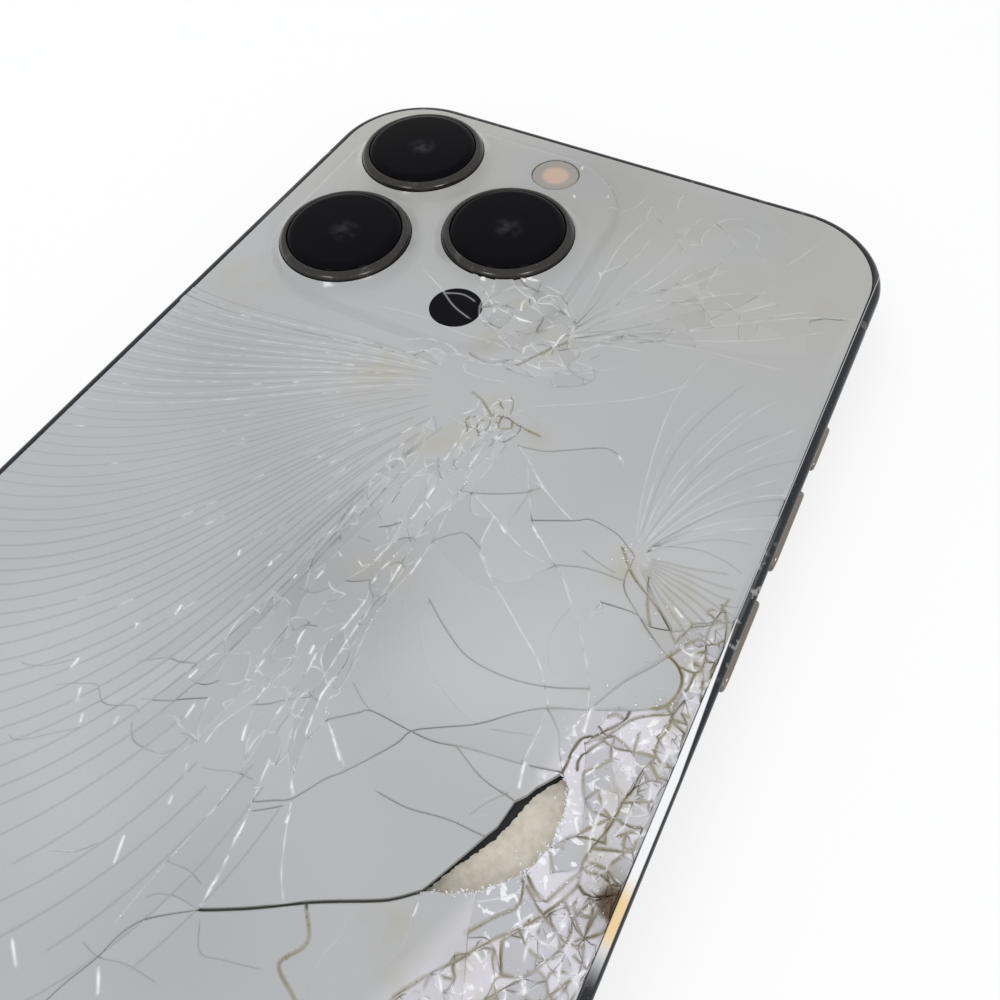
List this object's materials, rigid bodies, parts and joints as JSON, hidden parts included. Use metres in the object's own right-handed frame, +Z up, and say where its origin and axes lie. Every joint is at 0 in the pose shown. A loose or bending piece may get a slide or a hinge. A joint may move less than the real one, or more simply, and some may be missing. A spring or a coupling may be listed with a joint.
{
  "type": "smartphone with a shattered back glass",
  "caption": "Slim smartphone lying on its display, with raised cameras, side buttons and a cracked back glass that has lost a shard.",
  "frame": {"origin": "on the display glass, at the middle of the outline", "axes": "+Y along the phone towards the cameras, +Z up through the back glass, +X towards the volume buttons"},
  "size_m": [0.0724, 0.1466, 0.011],
  "materials": {
    "band": "polished dark steel, scuffed",
    "shattered_glass": "satin grey glass, shattered",
    "display_glass": "clear glass over a black display",
    "display": "black",
    "back_plate": "blackened",
    "backing": "beige adhesive backing, matt",
    "flash": "peach diffuser",
    "sensor": "black",
    "copper": "wound copper",
    "magnet": "plated",
    "battery": "black wrap",
    "circuit_board": "solder mask",
    "shield": "tinned",
    "port": "plain",
    "dark_plastic": "black",
    "screw": "plain",
    "flex": "amber film",
    "button": "polished",
    "lens_ring": "polished",
    "lens_glass": "black coated glass",
    "antenna_plastic": "dark grey"
  },
  "bodies": {
    "root": {"frame_band": "band", "back_glass": "shattered_glass", "front_glass": "display_glass", "display_panel": "display", "back_plate": "back_plate", "backing_pad": "backing", "flash_lens": "flash", "range_sensor": "sensor", "charging_coil": "copper", "magnet_ring": "magnet", "battery": "battery", "logic_board": "circuit_board", "board_shield": "shield", "charging_port": "port", "loudspeaker": "dark_plastic", "earpiece": "dark_plastic", "vibration_motor": "shield", "front_camera": "dark_plastic", "case_screw_left": "screw", "case_screw_right": "screw", "flex_left": "flex", "flex_right": "flex", "lens_ring_a": "lens_ring", "lens_cover_a": "lens_glass", "camera_module_a": "dark_plastic", "lens_ring_b": "lens_ring", "lens_cover_b": "lens_glass", "camera_module_b": "dark_plastic", "lens_ring_c": "lens_ring", "lens_cover_c": "lens_glass", "camera_module_c": "dark_plastic", "antenna_strip_1": "antenna_plastic", "antenna_strip_2": "antenna_plastic", "antenna_strip_3": "antenna_plastic", "antenna_strip_4": "antenna_plastic", "antenna_strip_5": "antenna_plastic", "antenna_strip_6": "antenna_plastic"},
    "volume_up": {"volume_up": "button"},
    "volume_down": {"volume_down": "button"},
    "side_button": {"side_button": "button"},
    "ring_switch": {"ring_switch": "button"}
  },
  "joints": [
    {"name": "volume_up_press", "type": "slide", "parent": "root", "child": "volume_up", "axis": [-1, 0, 0], "range_m": [0, 0.00025], "stiffness_N_per_m": 4000},
    {"name": "volume_down_press", "type": "slide", "parent": "root", "child": "volume_down", "axis": [-1, 0, 0], "range_m": [0, 0.00025], "stiffness_N_per_m": 4000},
    {"name": "side_button_press", "type": "slide", "parent": "root", "child": "side_button", "axis": [1, 0, 0], "range_m": [0, 0.00025], "stiffness_N_per_m": 4000},
    {"name": "ring_switch_slide", "type": "slide", "parent": "root", "child": "ring_switch", "axis": [0, 0, 1], "range_m": [0, 0.001]}
  ]
}
